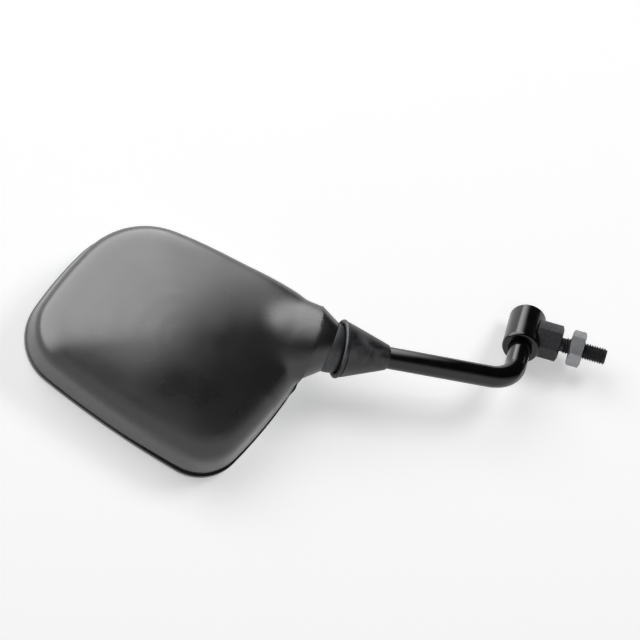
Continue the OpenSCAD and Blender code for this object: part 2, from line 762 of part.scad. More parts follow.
// The moulded housing: a crowned shell with a solid ring at the neck and four fixing posts
module housing() {
    neck_back = clamp_z;
    ledge_z = -collar_depth_r - free_gap;
    pocket_r = clamp_d / 2 + free_gap;
    color("#3a3a3d") at_head() difference() {
        union() {
            difference() {
                intersection() {
                    union() {
                        skin(shell_rings(0.4, 0, bezel_z));
                        fairing(0) rotate([-90, 0, 0]) at_seam() collar_section(-0.5, 1);
                    }
                    union() {
                        rotate([-90, 0, 0]) at_seam() translate([-far / 2, -far / 2, 0]) cube(far);
                        translate([-far / 2, -far / 2, ledge_z - far]) cube(far);
                    }
                }
                intersection() {
                    skin(shell_rings(0.4 + shell_t, shell_t, bezel_z - over));
                    translate([-far / 2, neck_back + 0.5, -far / 2]) cube(far);
                }
                translate([0, neck_back, 0]) rotate([-90, 0, 0])
                    cylinder(r = pocket_r, h = clamp_t + 1.5, $fn = 48);
                fairing(shell_t) translate([0, neck_back + clamp_t + over, 0]) rotate([-90, 0, 0])
                    cylinder(r = pocket_r - 1.2, h = over, $fn = 48);
                outline_plate(bezel_w - skirt_t - 0.15, bezel_z - over, post_z + free_gap - bezel_z + over);
            }
            intersection() {
                union() {
                    for (i = [0 : 3]) post(i);
                }
                union() {
                    skin(shell_rings(0.4 + shell_t / 2, shell_t / 2, bezel_z));
                    fairing(shell_t / 2) rotate([-90, 0, 0]) collar_section(neck_back + 2, 0.5);
                }
            }
        }
        rotate([-90, 0, 0]) cylinder(r = socket_d / 2 + free_gap, h = neck_back + over);
        for (i = [0 : 3])
            translate([post_at(i)[0], post_at(i)[1], post_z - over])
                cylinder(d = backing_screw_d + free_gap, h = backing_screw_l + over, $fn = 24);
    }
}

module backing_plate() {
    color("#242426") at_head() difference() {
        outline_plate(glass_inset, backing_z, backing_t);
        for (i = [0 : 3]) translate([post_at(i)[0], post_at(i)[1], backing_z]) {
            translate([0, 0, -over]) cylinder(d = backing_screw_d, h = backing_t + 2 * over);
            cylinder(d1 = 2 * backing_screw_d, d2 = backing_screw_d, h = backing_screw_d / 2);
        }
    }
}

// Four countersunk screws, flush with the backing plate
module backing_screws() {
    color("#8d9094") at_head() for (i = [0 : 3])
        translate([post_at(i)[0], post_at(i)[1], backing_z]) union() {
            cylinder(d1 = 2 * backing_screw_d, d2 = backing_screw_d, h = backing_screw_d / 2);
            translate([0, 0, backing_screw_d / 2]) cylinder(d = backing_screw_d, h = backing_screw_l - over);
        }
}

module foam_pad() {
    color("#303032") at_head() outline_plate(glass_inset + pad_inset, pad_z, pad_t);
}

module glass() {
    color("#c9d3da") at_head() outline_plate(glass_inset, glass_z, glass_t);
}

// The bezel: a lip over the glass, an edge bead and a skirt inside the housing
module bezel() {
    color("#2a2a2c") at_head() union() {
        outline_ring(bezel_step, lip_w, rim_z, bezel_step);
        outline_ring(0, lip_w, rim_z + bezel_step, lip_t - bezel_step);
        outline_ring(0, bezel_w, rim_z + lip_t, bezel_h - lip_t);
        outline_ring(bezel_w - skirt_t, bezel_w, bezel_z, skirt_h);
    }
}

hex_stud();
lock_nut();
barrel();
barrel_bush();
barrel_cap();
arm();
ball();
thrust_washer();
inner_disc_spring();
outer_disc_spring();
swivel_nut();
boot();
front_liner();
rear_liner();
socket();
spring_cup();
joint_spring();
clamp_plate();
clamp_screws();
neck_collar();
housing();
backing_plate();
backing_screws();
foam_pad();
glass();
bezel();
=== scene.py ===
"""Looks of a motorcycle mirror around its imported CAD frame.

The file is laid out as a Blender add-on: sizes and colours in property groups, one operator for each
piece or group of pieces, and a panel that lists them. It is run as a script.
"""

import json
import math

import bpy
from bpy.props import FloatProperty, FloatVectorProperty, IntProperty, PointerProperty
from mathutils import Matrix, Vector
from mathutils.bvhtree import BVHTree


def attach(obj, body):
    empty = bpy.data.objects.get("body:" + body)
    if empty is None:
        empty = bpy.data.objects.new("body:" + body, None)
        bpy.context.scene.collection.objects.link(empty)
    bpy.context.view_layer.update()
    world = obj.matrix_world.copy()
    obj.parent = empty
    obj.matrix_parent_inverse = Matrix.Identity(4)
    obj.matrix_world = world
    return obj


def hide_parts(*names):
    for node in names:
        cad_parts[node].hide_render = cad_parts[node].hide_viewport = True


bl_info = {
    "name": "Motorcycle mirror",
    "version": (1, 0, 0),
    "blender": (4, 5, 0),
    "location": "View3D > Sidebar > Mirror",
    "description": "Dresses the packed motorcycle mirror with its pieces, finishes and stage",
    "category": "Object",
}

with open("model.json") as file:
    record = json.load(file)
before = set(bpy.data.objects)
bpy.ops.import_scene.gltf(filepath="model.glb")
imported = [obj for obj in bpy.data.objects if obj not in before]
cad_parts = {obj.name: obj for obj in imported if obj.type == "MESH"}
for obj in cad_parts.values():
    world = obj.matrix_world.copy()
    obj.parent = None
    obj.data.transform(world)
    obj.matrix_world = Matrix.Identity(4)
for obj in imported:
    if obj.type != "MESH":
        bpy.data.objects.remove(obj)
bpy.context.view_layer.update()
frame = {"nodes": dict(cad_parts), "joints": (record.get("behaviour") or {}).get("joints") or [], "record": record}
joints = {j["name"]: j for j in frame["joints"]}

MM = 0.001
FULL_TURN = 2 * math.pi
CUT_GAP = 1e-7  # how near a cut a vertex counts as on it
RIGHT = Vector((-0.273, 0, -0.962)).normalized()  # right and up in the picture
UP = Vector((-0.962, 0, 0.273)).normalized()
BACK = RIGHT.cross(UP)
PICTURE = Matrix((RIGHT, UP, BACK)).transposed().to_4x4()
WHITE = (1, 1, 1, 1)

# The head's own axes: x across it, y up from the neck and z out of its rounded back
ball_at = Vector(joints["head_roll"]["pos_m"])
head_x = Vector(joints["head_nod"]["axis"])
head_z = Vector(joints["head_roll"]["axis"])
HEAD = Matrix.Translation(ball_at) @ Matrix((head_x, head_z.cross(head_x), head_z)).transposed().to_4x4()


def linear(code):
    """The linear colour of an sRGB hex value."""
    channels = [int(code[i:i + 2], 16) / 255 for i in (0, 2, 4)]
    return [c / 12.92 if c <= 0.04045 else ((c + 0.055) / 1.055) ** 2.4 for c in channels]


def size(name, text, value, low=0.0, high=1.0):
    """A length in a property group, given in millimetres and kept in metres."""
    return FloatProperty(name=name, description=text, default=value * MM, min=low * MM, max=high * MM,
                         unit="LENGTH", subtype="DISTANCE", precision=5)


def angle(name, text, degrees):
    """An angle in a property group, given in degrees and kept in radians."""
    return FloatProperty(name=name, description=text, default=math.radians(degrees), subtype="ANGLE")


def level(name, text, value, **limits):
    """A bare number in a property group, such as a strength of light or a share of a radius."""
    return FloatProperty(name=name, description=text, default=value, min=0, **limits)


def count(name, text, value, low, high):
    """A whole number in a property group, such as the steps in a turn."""
    return IntProperty(name=name, description=text, default=value, min=low, max=high)


def colour(name, text, code):
    """A colour in a property group, given as an sRGB hex value."""
    return FloatVectorProperty(name=name, description=text, default=linear(code), size=3, min=0, max=1,
                               subtype="COLOR")


class StudSizes(bpy.types.PropertyGroup):
    """Sizes of the threaded stud, its hexagon and the lock nut"""

    pitch: size("Thread pitch", "Rise of the thread in one turn", 1.5, 0.5, 3)
    crest_r: size("Crest radius", "Radius over the crests of the thread", 5, 4, 6)
    root_r: size("Root radius", "Radius at the root of the thread", 4.08, 3, 5.5)
    tip_z: size("Tip", "Height of the stud's tip", -13.8, -40, 0)
    tip_chamfer: size("Tip chamfer", "Chamfer at the stud's tip", 1.1, 0, 3)
    relief_z: size("Relief", "Height where the thread ends in its relief", 11.8, 5, 30)
    relief_r: size("Relief radius", "Radius of the thread relief", 4.1, 2, 5)
    hex_z: size("Hexagon foot", "Height of the hexagon's lower face", 13.8, 5, 40)
    hex_h: size("Hexagon height", "Height of the hexagon", 15, 5, 30)
    hex_flats: size("Hexagon flats", "Size across the hexagon's flats", 19, 10, 30)
    hex_chamfer: size("Hexagon chamfer", "Chamfer at the hexagon's lower corners", 1.2, 0.1, 3)
    hex_turn: angle("Hexagon turn", "Turn of the hexagon about the stud", 4)
    saddle_r: size("Saddle radius", "Radius of the barrel that sits in the hexagon", 11, 5, 20)
    saddle_z: size("Saddle height", "Height of the barrel's axis", 36.2, 20, 60)
    nut_h: size("Nut height", "Height of the lock nut", 8.4, 3, 15)
    nut_flats: size("Nut flats", "Size across the lock nut's flats", 19, 10, 30)
    nut_chamfer: size("Nut chamfer", "Chamfer at the lock nut's corners", 1, 0.1, 3)
    nut_turn: angle("Nut turn", "Turn of the lock nut about the stud", 10)
    nut_bore_r: size("Nut bore", "Radius of the lock nut's bore", 5.05, 4, 7)
    nut_sink: size("Nut countersink", "Width of the countersink at the nut's mouths", 0.45, 0, 2)
    edge_r: size("Edge rounding", "Rounding of the hexagons' upright edges", 0.3, 0.05, 1)
    turn_steps: count("Steps", "Steps in one turn of the thread", 40, 12, 96)


class ArmSizes(bpy.types.PropertyGroup):
    """Sizes of the bent round arm"""

    rod_r: size("Rod radius", "Radius of the arm's rod", 6.5, 4, 10)
    thread_r: size("Thread radius", "Radius of the threaded end", 4, 2, 6)
    journal_r: size("Journal radius", "Radius of the journal in the bush", 5, 3, 7)
    neck_r: size("Neck radius", "Radius of the neck beside the ball", 4.5, 3, 6)
    spigot_r: size("Spigot radius", "Radius of the spigot through the ball", 3.5, 2, 5)
    thread_end: size("Thread end", "End of the thread along the barrel, from the stud's axis", -10.45, -20, 0)
    journal_end: size("Journal end", "End of the journal along the barrel", -4.75, -15, 0)
    shoulder: size("Shoulder", "Shoulder of the rod along the barrel", 8.15, 0, 20)
    leg_reach: size("Leg reach", "Distance along the barrel from the stud's axis to the corner", 46.5, 30, 70)
    rod_reach: size("Rod reach", "Distance from the corner to the ball's centre", 112, 60, 200)
    bend_r: size("Bend radius", "Radius of the centre line in the bend", 18, 8, 40)
    rod_start: size("Rod start", "Distance from the ball's centre to the full rod", 12.8, 8, 20)
    neck_l: size("Neck length", "Distance from the ball's centre to the end of the neck's cone", 9, 5, 15)
    ball_flat: size("Ball flat", "Distance from the ball's centre to its flats", 6.6144, 3, 10)
    edge: size("Edge chamfer", "Chamfer at the thread's end", 0.6, 0.1, 2)
    sides: count("Sides", "Number of sides of the rod", 64, 16, 256)
    bend_steps: count("Bend steps", "Steps round the bend", 40, 8, 96)


class HeadSizes(bpy.types.PropertyGroup):
    """Sizes of the moulded head's surface"""

    voxel: size("Voxel", "Size of the voxels that even out the housing", 1.3, 0.8, 4)
    extra: size("Extra", "Length added to the housing's ends before they are trimmed", 2, 0.5, 5)
    rim_z: size("Parting line", "Height of the line between housing and bezel", -23, -40, 0)
    cad_seam_y: size("CAD seam", "Distance from the ball to the seam in the CAD housing", 10, 5, 20)
    seam_y: size("Seam", "Distance from the ball to the seam of collar and housing", 11.6, 5, 20)
    seam_tilt: angle("Seam tilt", "Tilt of the seam, with the rounded side towards the arm", 7.5)
    seam_slant: angle("Seam slant", "Slant of the seam across the neck", 4)
    ledge_z: size("Ledge", "Height of the ledge under the neck", -18.5, -30, 0)
    pocket_r: size("Pocket radius", "Radius of the clamp pocket in the neck", 16.1, 10, 20)
    pocket_wall: size("Pocket wall", "Wall lent to the pocket while the skin is evened", 1.5, 0, 3)
    pocket_low: size("Pocket floor", "Distance from the ball to the clamp pocket's floor", 16, 10, 25)
    pocket_high: size("Pocket top", "Distance from the ball to the clamp pocket's top", 19.5, 10, 30)
    collar_r: size("Collar radius", "Radius of the collar at its end towards the arm", 15, 10, 20)
    collar_bore_r: size("Collar bore", "Radius of the collar's bore", 14.15, 10, 20)
    collar_side_r: size("Collar side", "Sideways radius of the collar at the seam", 23.6, 15, 30)
    collar_depth_r: size("Collar depth", "Depth radius of the collar at the seam", 18.2, 15, 25)
    collar_offset: size("Collar offset", "Offset of the collar's wide end towards the lower side", 2.8, 0, 6)
    collar_edge: size("Collar edge", "Rounding of the collar's edges", 0.35, 0.05, 1)
    seam_edge: size("Seam edge", "Rounding of the housing's edge at the seam", 0.4, 0.05, 1)
    swell_low: size("Lower swell", "Swell of the neck's lower side at the seam", 2.1, 0, 5)
    swell_high: size("Upper swell", "Swell of the neck's upper side", 1.2, 0, 5)
    swell_to: size("Swell end", "Height above the ball where the swell ends", 62, 30, 100)
    even: count("Evening", "Smoothing passes over the whole shell", 16, 0, 200)
    melt: count("Melting", "Smoothing passes where the neck runs into the shell", 90, 0, 400)
    melt_from: size("Melt start", "Height above the ball where the melted part begins", 22, 5, 60)
    melt_to: size("Melt end", "Height above the ball where the melted part ends", 95, 30, 160)


class BootSizes(bpy.types.PropertyGroup):
    """Sizes of the rubber boot, measured from the ball's centre down along the arm"""

    rim: size("Rim", "Distance from the ball's centre to the rim", 4.7, 2, 10)
    lip_r: size("Lip radius", "Radius of the rolled lip", 1.3, 0.5, 3)
    wide_r: size("Wide radius", "Radius over the rolled lip", 17.5, 12, 25)
    groove: size("Groove", "Depth of the groove behind the lip", 0.6, 0, 2)
    narrow_r: size("Narrow radius", "Radius at the narrow end", 7.3, 6, 12)
    length: size("Length", "Length of the boot", 30.7, 20, 50)
    wall: size("Wall", "Thickness of the rubber", 2.2, 1, 4)
    grip: size("Grip", "Length over which the boot grips the rod", 12, 5, 20)
    grip_r: size("Grip radius", "Radius of the rod in the grip", 6.5, 4, 10)
    steps: count("Steps", "Steps round the boot", 96, 24, 192)


class FinishColours(bpy.types.PropertyGroup):
    """Colours of the finishes"""

    abs_black: colour("Black ABS", "Colour of the moulded black plastic", "121214")
    rubber: colour("Rubber", "Colour of the black rubber", "131315")
    rubber_dust: colour("Rubber dust", "Colour of the dusty marks on the rubber", "48484b")
    enamel: colour("Enamel", "Colour of the gloss black enamel", "060607")
    phosphate: colour("Phosphate", "Colour of the dark phosphated steel", "414144")
    zinc: colour("Zinc", "Colour of the zinc-plated steel", "97989b")
    steel: colour("Steel", "Colour of the bare steel", "b9bbbe")
    spring: colour("Spring steel", "Colour of the spring steel", "8a8d91")
    bronze: colour("Bronze", "Colour of the bearing bronze", "a9814a")
    acetal: colour("Acetal", "Colour of the natural acetal", "ded9cb")
    zamak: colour("Zamak", "Colour of the cast alloy", "4a4b4d")
    foam: colour("Foam", "Colour of the foam pad", "2e2e30")
    silver: colour("Silvering", "Colour of the silvered glass", "e4ebef")


class StageSizes(bpy.types.PropertyGroup):
    """Camera, floor and lamps"""

    distance: size("Camera distance", "Distance of the camera from the object", 8000, 500, 20000)
    view_width: size("View width", "Width of what the camera sees", 373.2, 50, 2000)
    aim: FloatVectorProperty(name="Aim", description="Point that the camera looks at",
                             default=(0.02548, 0.061454, 0.15361), size=3, unit="LENGTH", subtype="XYZ")
    floor_size: size("Floor size", "Width of the floor", 560, 400, 9000)
    floor_depth: size("Floor depth", "Distance of the floor from the origin on its normal", -21.5, -100, 100)
    floor_normal: FloatVectorProperty(name="Floor normal", description="Direction away from the floor",
                                      default=(-0.4158, 0.8983, -0.1419), size=3, subtype="DIRECTION")
    floor_colour: colour("Floor colour", "Colour of the pale floor", "e6e6e6")
    floor_glow: level("Floor glow", "Light that the floor adds for camera and gloss", 0.42, max=2)
    key_power: level("Key", "Power of the key softbox", 9, unit="POWER")
    side_power: level("Side", "Power of the side softbox", 6, unit="POWER")
    strip_power: level("Strip", "Power of the narrow strip light", 0.6, unit="POWER")
    hood_r: size("Hood radius", "Radius of the studio hood round the table", 500, 300, 9000)
    hood_foot: level("Hood foot", "Share of the radius behind the table where the hood ends", 0.6, max=1)
    hood_low: level("Hood low", "Light of the hood's lower side in gloss", 1.0)
    hood_high: level("Hood high", "Light of the rest of the hood in gloss", 0.02)
    low_full: level("Low full", "Share of the radius below the aim where the lower side is full", 0.5, max=1)
    low_none: level("Low none", "Share of the radius below the aim where the lower side ends", 0.1, max=1)
    hood_glow: level("Hood glow", "Light of the hood's bright side in gloss", 5.0)
    bright_side: FloatVectorProperty(name="Bright side", description="Its way, right, up and back",
                                     default=(-0.65, 0.75, 0.12), size=3, subtype="DIRECTION")
    glow_from: level("Glow start", "Share of the radius towards the bright side where it begins", 0.28, max=1)
    glow_full: level("Glow full", "Share of the radius towards the bright side where it is full", 0.6, max=1)
    roll: angle("Roll", "Turn of the camera about its line of sight", 0.25)
    sky: level("Sky", "Strength of the even light from all round", 0.13)


def deselect():
    """Leaves edit mode and selects nothing."""
    if bpy.context.mode != "OBJECT":
        bpy.ops.object.mode_set(mode="OBJECT")
    bpy.ops.object.select_all(action="DESELECT")


def work_on(obj):
    """Makes obj the one selected and active object."""
    deselect()
    obj.select_set(True)
    bpy.context.view_layer.objects.active = obj


def apply_place():
    """Writes the selected object's place, turn and size into its mesh."""
    bpy.ops.object.transform_apply(location=True, rotation=True, scale=True)


def pick(obj, kind, test):
    """Leaves obj in edit mode with only those vertices, edges or faces selected for which test holds."""
    work_on(obj)
    bpy.ops.object.mode_set(mode="EDIT")
    bpy.ops.mesh.select_mode(type=kind)
    bpy.ops.mesh.select_all(action="DESELECT")
    bpy.ops.object.mode_set(mode="OBJECT")
    for item in {"VERT": obj.data.vertices, "EDGE": obj.data.edges, "FACE": obj.data.polygons}[kind]:
        item.select = bool(test(item))
    bpy.ops.object.mode_set(mode="EDIT")


def apply_modifier(obj, kind, **settings):
    work_on(obj)
    modifier = obj.modifiers.new(kind.title(), kind)
    for key, value in settings.items():
        setattr(modifier, key, value)
    bpy.ops.object.modifier_apply(modifier=modifier.name)


def cut(obj, tool, operation="DIFFERENCE", solver="EXACT"):
    """Cuts obj with a tool object, which is then removed."""
    apply_modifier(obj, "BOOLEAN", operation=operation, object=tool, solver=solver)
    bpy.data.objects.remove(tool)


def settle(obj, name, degrees=30):
    """Applies obj's place, names it and shades it smooth where its faces meet at less than this."""
    work_on(obj)
    obj.name = obj.data.name = name
    apply_place()
    bpy.ops.object.shade_smooth_by_angle(angle=math.radians(degrees))
    return obj


def copy_of(node, name):
    """A merged copy of a CAD node that can be worked on."""
    obj = bpy.data.objects.new(name, frame["nodes"][node].data.copy())
    bpy.context.scene.collection.objects.link(obj)
    work_on(obj)
    bpy.ops.mesh.customdata_custom_splitnormals_clear()
    bpy.ops.object.mode_set(mode="EDIT")
    bpy.ops.mesh.select_all(action="SELECT")
    bpy.ops.mesh.remove_doubles(threshold=0.002 * MM)
    bpy.ops.object.mode_set(mode="OBJECT")
    return obj


def trace(points):
    """A line of edges in the XZ plane: one vertex, extruded from each (radius, height) to the next."""
    deselect()
    bpy.ops.mesh.primitive_plane_add(size=MM, location=(points[0][0], 0, points[0][1]))
    line = bpy.context.object
    apply_place()
    pick(line, "VERT", lambda v: True)
    bpy.ops.mesh.merge(type="CENTER")
    for (r0, z0), (r1, z1) in zip(points, points[1:]):
        bpy.ops.mesh.extrude_region_move(TRANSFORM_OT_translate={"value": (r1 - r0, 0, z1 - z0)})
    deselect()
    return line


def add_node(tree, kind, settings=None, inputs=None):
    """Adds a shader node, sets its properties and sets or links its inputs."""
    item = tree.nodes.new("ShaderNode" + kind)
    for key, value in (settings or {}).items():
        setattr(item, key, value)
    for key, value in (inputs or {}).items():
        if isinstance(value, bpy.types.NodeSocket):
            tree.links.new(value, item.inputs[key])
        else:
            item.inputs[key].default_value = value
    return item


def start_material(name):
    """A new material with an empty tree, and its Object coordinates."""
    material = bpy.data.materials.new(name)
    material.use_nodes = True
    tree = material.node_tree
    tree.nodes.clear()
    return material, tree, add_node(tree, "TexCoord").outputs["Object"]


def end_material(material, shader):
    """Joins the last shader to the material's output."""
    add_node(material.node_tree, "OutputMaterial", None, {"Surface": shader.outputs[0]})
    return material


def end_principled(material, inputs):
    """Ends a material with a principled shader that has these inputs."""
    return end_material(material, add_node(material.node_tree, "BsdfPrincipled", None, inputs))


def rgba(c):
    return (*c, 1.0)


def times(c, factor):
    return [x * factor for x in c]


def noise(tree, place, width, detail, **more):
    """A noise whose marks are about width millimetres wide."""
    return add_node(tree, "TexNoise", None, {
        "Vector": place, "Scale": 1 / (width * MM), "Detail": detail, **more}).outputs["Fac"]


def mapped(tree, value, start=0.0, end=1.0, low=0.0, high=1.0, **settings):
    """A value whose range from start to end becomes the one from low to high."""
    return add_node(tree, "MapRange", settings, {
        "Value": value, "From Min": start, "From Max": end, "To Min": low, "To Max": high}).outputs["Result"]


def blend(tree, share, first, second):
    """The colour that lies by a share between the first and the second."""
    return add_node(tree, "Mix", {"data_type": "RGBA"}, {
        0: share, 6: rgba(first), 7: rgba(second)}).outputs[2]


def relief(tree, height, strength, depth):
    """The normal of a relief that is depth millimetres deep."""
    return add_node(tree, "Bump", None, {
        "Height": height, "Strength": strength, "Distance": depth * MM}).outputs["Normal"]


def moulded_abs(c, name, grain_mm, depth_mm, roughness):
    """Moulded ABS: a fine spark-eroded grain breaks the sheen up, and the gloss drifts over the part.

    The real grain is near 0.1 mm, too fine for the picture, so it is drawn coarser.
    """
    material, tree, place = start_material(name)
    grain = noise(tree, place, grain_mm, 2.0)
    drift = noise(tree, place, 22, 3.0)
    return end_principled(material, {
        "Base Color": blend(tree, grain, times(c.abs_black, 0.85), times(c.abs_black, 1.15)),
        "Roughness": mapped(tree, drift, 0.3, 0.7, roughness - 0.03, roughness + 0.04),
        "IOR": 1.53, "Specular IOR Level": 0.7, "Normal": relief(tree, grain, 1.0, depth_mm)})


def moulded_rubber(c):
    """Moulded EPDM rubber: matt and soft, with a bloom of dust in wiped patches and a tooth of 0.35 mm, drawn
    coarser than the real one so that it shows."""
    material, tree, place = start_material("moulded_epdm_rubber")
    patch = noise(tree, place, 9, 5.0, Distortion=0.6)
    fine = noise(tree, place, 0.35, 2.0)
    wiped = mapped(tree, patch, 0.42, 0.72)
    return end_principled(material, {
        "Base Color": blend(tree, wiped, c.rubber, c.rubber_dust), "IOR": 1.5,
        "Roughness": mapped(tree, wiped, low=0.4, high=0.6), "Normal": relief(tree, fine, 0.6, 0.03)})


def stoved_enamel(c):
    """Stoved gloss enamel on steel: deep black under a hard clear skin with a faint orange peel."""
    material, tree, place = start_material("stoved_black_enamel")
    peel = noise(tree, place, 2.2, 1.0)
    haze = noise(tree, place, 14, 4.0)
    return end_principled(material, {
        "Base Color": rgba(c.enamel), "IOR": 1.5, "Roughness": mapped(tree, haze, 0.35, 0.7, 0.1, 0.2),
        "Normal": relief(tree, peel, 0.35, 0.012)})


def metal(name, tint, roughness, spread, grain_mm, depth_mm, blotch_mm, dark, metallic=1.0):
    """Bare or plated metal: the tone is mottled in blotches, over a tooled grain drawn coarser than it is."""
    material, tree, place = start_material(name)
    grain = noise(tree, place, grain_mm, 3.0)
    blotch = noise(tree, place, blotch_mm, 6.0, Roughness=0.65)
    marks = mapped(tree, blotch, 0.35, 0.65)
    return end_principled(material, {
        "Base Color": blend(tree, marks, times(tint, dark), tint), "Metallic": metallic,
        "Roughness": mapped(tree, marks, low=roughness + spread, high=roughness),
        "Normal": relief(tree, grain, 0.7, depth_mm)})


def acetal_resin(c):
    """Natural acetal: milky, waxy and smooth, with faint flow marks from the mould."""
    material, tree, place = start_material("natural_acetal")
    flow = noise(tree, place, 4, 3.0)
    return end_principled(material, {
        "Base Color": blend(tree, flow, times(c.acetal, 0.88), c.acetal), "Roughness": 0.35, "IOR": 1.48,
        "Subsurface Weight": 0.2, "Subsurface Scale": 1.5 * MM})


def foam_sheet(c):
    """Closed-cell foam: dull, with open cut cells."""
    material, tree, place = start_material("closed_cell_foam")
    cells = add_node(tree, "TexVoronoi", None, {"Vector": place, "Scale": 1 / (0.8 * MM)}).outputs["Distance"]
    return end_principled(material, {
        "Base Color": blend(tree, cells, c.foam, times(c.foam, 1.8)), "Roughness": 0.9,
        "Normal": relief(tree, cells, 1.0, 0.2)})


def silvered_glass(c):
    """Float glass silvered on its back: a clear cool reflection, as from a bright metal face."""
    material, tree, place = start_material("silvered_float_glass")
    haze = noise(tree, place, 30, 2.0)
    return end_principled(material, {
        "Base Color": rgba(c.silver), "Metallic": 1.0, "Roughness": mapped(tree, haze, low=0.01, high=0.03)})


def make_materials(c):
    """All finishes of the mirror, by the record's material slot. The head's skin has one of its own."""
    moulded_abs(c, "spark_eroded_abs", 0.5, 0.04, 0.28)
    return {
        "black_plastic": moulded_abs(c, "smooth_moulded_abs", 0.3, 0.015, 0.3),
        "black_rubber": moulded_rubber(c),
        "black_paint": stoved_enamel(c),
        "dark_steel": metal("phosphated_steel", c.phosphate, 0.36, 0.18, 0.35, 0.04, 1.3, 0.4, 0.8),
        "grey_steel": metal("zinc_plated_steel", c.zinc, 0.36, 0.1, 0.3, 0.015, 2.2, 0.8),
        "bare_steel": metal("turned_steel", c.steel, 0.25, 0.1, 0.2, 0.01, 2.0, 0.85),
        "spring_steel": metal("spring_steel", c.spring, 0.3, 0.1, 0.2, 0.01, 2.5, 0.75),
        "bronze": metal("sintered_bronze", c.bronze, 0.4, 0.1, 0.25, 0.02, 1.2, 0.75),
        "cast_alloy": metal("die_cast_zamak", c.zamak, 0.42, 0.1, 0.4, 0.03, 3.0, 0.8),
        "acetal": acetal_resin(c),
        "foam": foam_sheet(c),
        "mirror_glass": silvered_glass(c),
    }


def dress(obj, name):
    """Gives obj the material of this name and no other."""
    obj.data.materials.clear()
    obj.data.materials.append(bpy.data.materials[name])


def cylinder(sides, radius, low, high, **more):
    """A new cylinder round the Z axis between two heights, with its place written into its mesh."""
    deselect()
    bpy.ops.mesh.primitive_cylinder_add(vertices=sides, radius=radius, depth=high - low,
                                        location=(0, 0, (low + high) / 2), **more)
    apply_place()
    return bpy.context.object


def turned_blank(radius, low, high, ends):
    """A turned cylinder. Each end has its face's inset and its chamfer's height, or nothing if plain."""
    blank = cylinder(96, radius, low, high)
    for side, end in ((-1, ends[0]), (1, ends[1])):
        if end:
            inset, rise = end
            pick(blank, "FACE", lambda f: f.normal.z * side > 0.9)
            bpy.ops.mesh.inset(thickness=inset)
            pick(blank, "VERT", lambda v: v.co.xy.length > radius - inset / 2
                 and (v.co.z - (low + high) / 2) * side > 0)
            bpy.ops.transform.translate(value=(0, 0, -side * rise))
    deselect()
    return blank


def turned_hexagon(name, flats, height, low, turn, chamfers, edge_r):
    """A hexagon bar with rounded edges, its corners turned off below and above by the given chamfers."""
    corner_r = flats / math.sqrt(3)
    spare = 0.02 * MM
    bar = cylinder(6, corner_r, low, low + height, rotation=(0, 0, turn + math.pi / 6))
    points = bar.data.vertices
    pick(bar, "EDGE", lambda e: abs(points[e.vertices[0]].co.z - points[e.vertices[1]].co.z) > height / 2)
    bpy.ops.mesh.bevel(offset=edge_r, segments=3, affect="EDGES")
    ends = [(2 * c + MM, c + MM / 2) if c else None for c in chamfers]
    cut(bar, turned_blank(corner_r + MM, low - spare, low + height + spare, ends), "INTERSECT")
    bar.name = name
    return bar


def bore_and_sink(bar, bore_r, sink, low, high):
    """Bores a hole through bar, with a countersink at both mouths."""
    drill = cylinder(96, bore_r, low - MM, high + MM)
    for side, face in ((-1, low), (1, high)):
        pick(drill, "FACE", lambda f: f.normal.z * side > 0.9)
        bpy.ops.transform.translate(value=(0, 0, -side * (MM + sink)))
        bpy.ops.mesh.extrude_region_move(TRANSFORM_OT_translate={"value": (0, 0, side * sink)})
        widen = (bore_r + sink) / bore_r
        bpy.ops.transform.resize(value=(widen, widen, 1), center_override=(0, 0, face))
        bpy.ops.mesh.extrude_region_move(TRANSFORM_OT_translate={"value": (0, 0, side * MM)})
    deselect()
    cut(bar, drill)


def seam_normal(s):
    """The way across the seam from the collar to the housing, in the head's axes."""
    tilt, slant = s.seam_tilt, s.seam_slant
    return Vector((-math.sin(slant) * math.cos(tilt), math.cos(slant) * math.cos(tilt), math.sin(tilt)))


class MIRROR_OT_finishes(bpy.types.Operator):
    """Makes the finishes and gives each CAD node that stays its own"""

    bl_idname = "mirror.finishes"
    bl_label = "Finishes"

    def execute(self, context):
        made = make_materials(context.scene.mirror_colours)
        for part in frame["record"]["subparts"]:
            for slot in frame["nodes"][part["node"]].material_slots:
                slot.material = made[part["material_slot"]]
        return {"FINISHED"}


